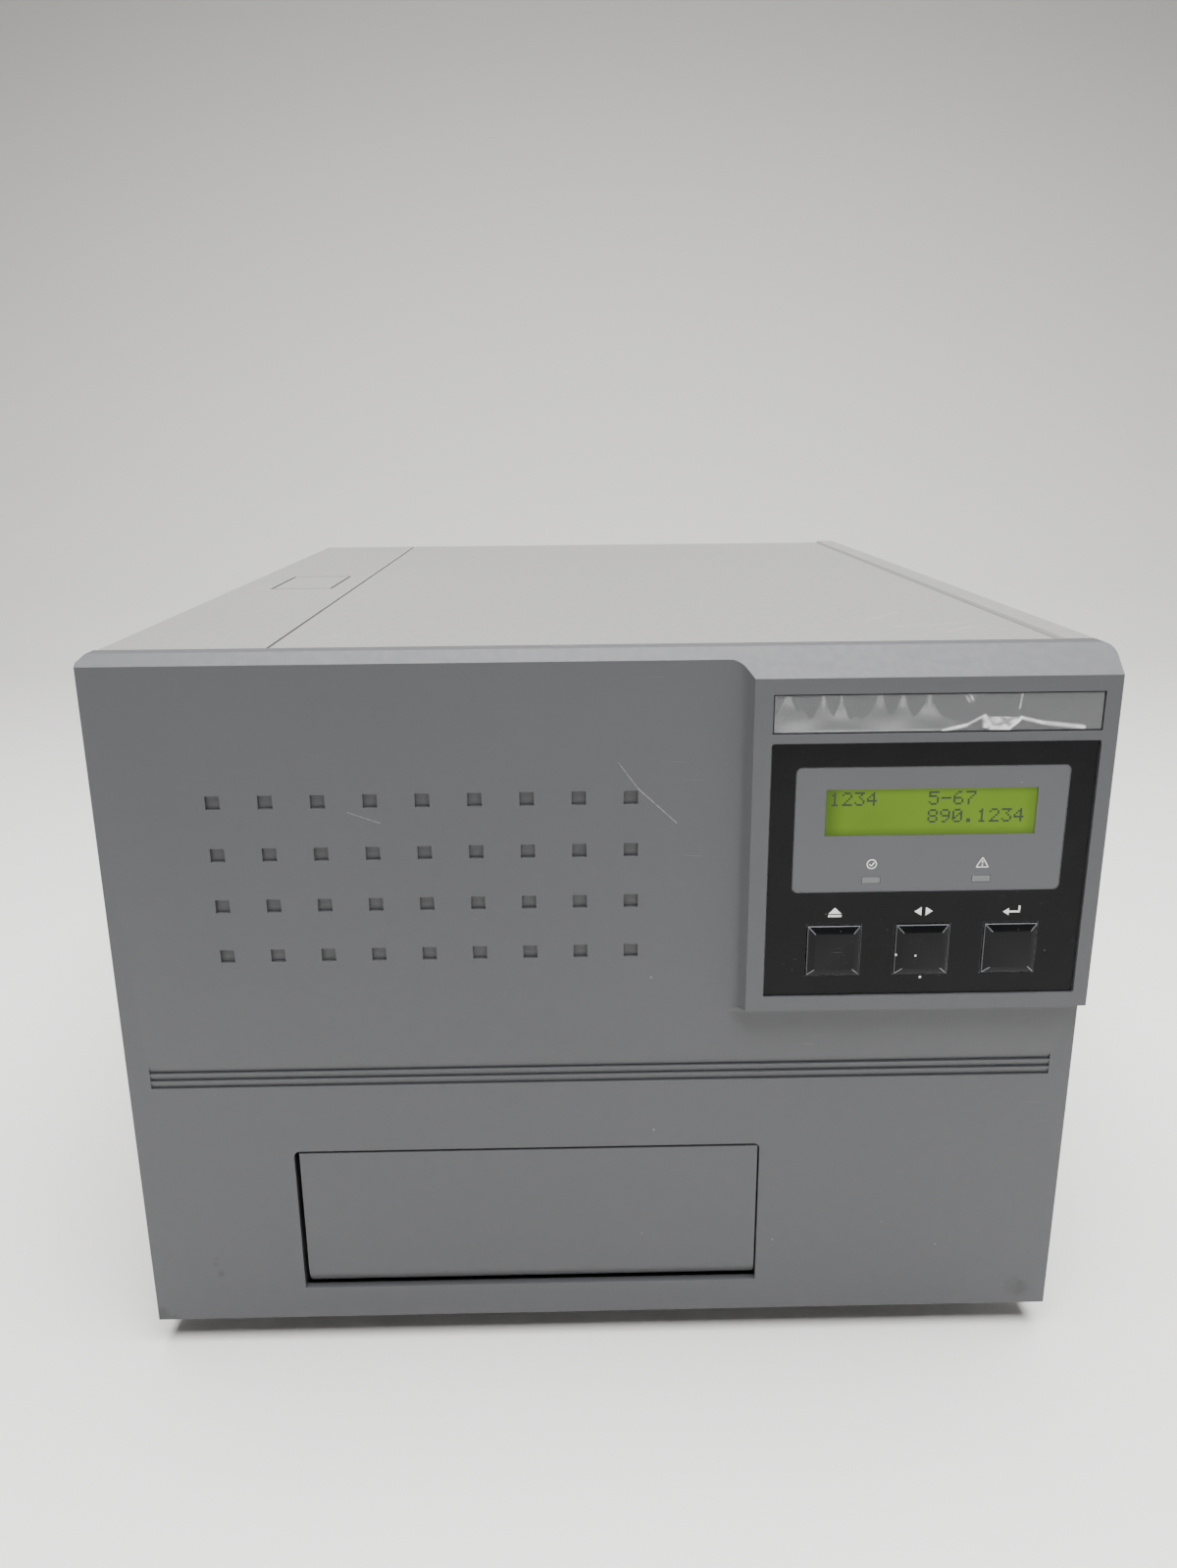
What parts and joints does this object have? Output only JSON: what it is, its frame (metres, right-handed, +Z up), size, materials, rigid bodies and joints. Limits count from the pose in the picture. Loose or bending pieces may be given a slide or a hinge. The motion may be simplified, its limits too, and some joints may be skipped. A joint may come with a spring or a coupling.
{
  "type": "disc label printer",
  "caption": "Grey desktop disc label printer with a control pod, bottom-hinged tray flap, motor-driven disc tray and a side door over its ribbon and film cassettes.",
  "frame": {"origin": "centre of the overall box's footprint, on the table under the feet", "axes": "-Y towards the user in front, +X to the right seen from the front, +Z up"},
  "size_m": [0.28, 0.352, 0.22],
  "materials": {
    "case_grey": "fine-grained moulded grey",
    "cover_grey": "satin grey paint",
    "panel_black": "semi-gloss black",
    "window_grey": "smooth grey film",
    "lcd_green": "lit yellow-green display",
    "plate_grey": "dark grey under a loose clear film",
    "lamp_clear": "clear, unlit",
    "board_green": "solder mask",
    "tray_black": "moulded",
    "gear_white": "moulded",
    "steel": "plated sheet",
    "rubber_black": "ground",
    "head_aluminium": "extruded",
    "film_clear": "wound film",
    "ribbon_black": "wound ribbon",
    "supply_steel": "bare sheet"
  },
  "bodies": {
    "chassis": {"front_bezel": "case_grey", "name_plate": "plate_grey", "control_panel": "panel_black", "display_window": "window_grey", "ready_lamp": "lamp_clear", "fault_lamp": "lamp_clear", "lcd_screen": "lcd_green", "display_board": "board_green", "key_board": "board_green", "tray_rail_left": "tray_black", "tray_rail_right": "tray_black", "gear_axle": "steel", "tray_motor": "steel", "base_pan": "steel", "hinge_lugs": "steel", "feet": "rubber_black", "left_frame": "steel", "right_frame": "steel", "head_pivot_rod": "steel", "film_cassette_outer_end": "panel_black", "film_cassette_inner_end": "panel_black", "film_cassette_bars": "gear_white", "ribbon_cassette_outer_end": "panel_black", "ribbon_cassette_inner_end": "panel_black", "ribbon_cassette_bars": "gear_white", "door_hinge_pins": "steel", "latch_strike": "steel", "right_cover": "cover_grey", "top_panel": "cover_grey", "top_rails": "steel", "rear_panel": "cover_grey", "fan_frame": "panel_black", "mains_inlet": "panel_black", "switch_housing": "panel_black", "data_port": "panel_black", "power_supply": "supply_steel", "main_board": "board_green", "rear_screws": "steel"},
    "tray": {"disc_tray": "tray_black", "tray_rack": "gear_white"},
    "flap_unit": {"flap": "case_grey", "flap_pins": "steel"},
    "drive_gear_unit": {"drive_gear": "gear_white"},
    "motor_gear_unit": {"motor_gear": "gear_white"},
    "eject": {"eject_button": "panel_black"},
    "select": {"select_button": "panel_black"},
    "enter": {"enter_button": "panel_black"},
    "door": {"side_door": "cover_grey", "latch_spring": "steel"},
    "latch": {"latch_button": "case_grey"},
    "rocker": {"switch_rocker": "panel_black"},
    "rotor": {"fan_rotor": "panel_black"},
    "platen": {"platen_roller": "rubber_black"},
    "heater": {"heat_roller": "rubber_black"},
    "head": {"print_head": "head_aluminium"},
    "film_supply": {"film_supply_spool": "film_clear"},
    "film_takeup": {"film_takeup_spool": "film_clear"},
    "ribbon_supply": {"ribbon_supply_spool": "ribbon_black"},
    "ribbon_takeup": {"ribbon_takeup_spool": "ribbon_black"}
  },
  "joints": [
    {"name": "tray_slide", "type": "slide", "parent": "chassis", "child": "tray", "axis": [0, -1, 0], "range_m": [0, 0.194]},
    {"name": "flap_hinge", "type": "hinge", "parent": "chassis", "child": "flap_unit", "pos_m": [-0.0228, -0.1617, 0.0272], "axis": [1, 0, 0], "range_deg": [0, 75]},
    {"name": "drive_gear_spin", "type": "hinge", "parent": "chassis", "child": "drive_gear_unit", "pos_m": [0.031, -0.0792, 0.0453], "axis": [1, 0, 0], "range_deg": [0, 1120]},
    {"name": "motor_gear_spin", "type": "hinge", "parent": "chassis", "child": "motor_gear_unit", "pos_m": [0.031, -0.0632, 0.0453], "axis": [1, 0, 0], "range_deg": [-1870, 0]},
    {"name": "eject_press", "type": "slide", "parent": "chassis", "child": "eject", "axis": [0, 1, 0], "range_m": [0, 0.0012], "stiffness_N_per_m": 400},
    {"name": "select_press", "type": "slide", "parent": "chassis", "child": "select", "axis": [0, 1, 0], "range_m": [0, 0.0012], "stiffness_N_per_m": 400},
    {"name": "enter_press", "type": "slide", "parent": "chassis", "child": "enter", "axis": [0, 1, 0], "range_m": [0, 0.0012], "stiffness_N_per_m": 400},
    {"name": "door_hinge", "type": "hinge", "parent": "chassis", "child": "door", "pos_m": [-0.133, 0.0075, 0.014], "axis": [0, -1, 0], "range_deg": [0, 85]},
    {"name": "latch_press", "type": "slide", "parent": "door", "child": "latch", "axis": [0, 0, -1], "range_m": [0, 0.0025], "stiffness_N_per_m": 400, "springref_m": -0.002, "deforming": ["latch_spring"]},
    {"name": "rocker_tilt", "type": "hinge", "parent": "chassis", "child": "rocker", "pos_m": [0.06397, 0.1685, 0.039], "axis": [1, 0, 0], "range_deg": [0, 18]},
    {"name": "fan_spin", "type": "hinge", "parent": "chassis", "child": "rotor", "pos_m": [0.09524, 0.1595, 0.154], "axis": [0, 1, 0], "continuous": true},
    {"name": "platen_spin", "type": "hinge", "parent": "chassis", "child": "platen", "pos_m": [-0.0228, 0.0055, 0.115], "axis": [1, 0, 0], "continuous": true},
    {"name": "heat_roller_spin", "type": "hinge", "parent": "chassis", "child": "heater", "pos_m": [-0.0228, -0.1255, 0.0785], "axis": [1, 0, 0], "continuous": true},
    {"name": "head_lift", "type": "hinge", "parent": "chassis", "child": "head", "pos_m": [-0.0228, 0.0265, 0.087], "axis": [-1, 0, 0], "range_deg": [0, 10]},
    {"name": "film_supply_spin", "type": "hinge", "parent": "chassis", "child": "film_supply", "pos_m": [-0.0228, -0.1085, 0.155], "axis": [1, 0, 0], "continuous": true},
    {"name": "film_takeup_spin", "type": "hinge", "parent": "chassis", "child": "film_takeup", "pos_m": [-0.0228, -0.0465, 0.155], "axis": [1, 0, 0], "continuous": true},
    {"name": "ribbon_supply_spin", "type": "hinge", "parent": "chassis", "child": "ribbon_supply", "pos_m": [-0.0228, 0.1275, 0.155], "axis": [1, 0, 0], "continuous": true},
    {"name": "ribbon_takeup_spin", "type": "hinge", "parent": "chassis", "child": "ribbon_takeup", "pos_m": [-0.0228, 0.0505, 0.155], "axis": [1, 0, 0], "continuous": true}
  ],
  "couplings": [
    {"joint": "flap_hinge", "follows": "tray_slide", "rad_per_m": 6.747},
    {"joint": "drive_gear_spin", "follows": "tray_slide", "rad_per_m": 100},
    {"joint": "motor_gear_spin", "follows": "tray_slide", "rad_per_m": -166.67}
  ]
}
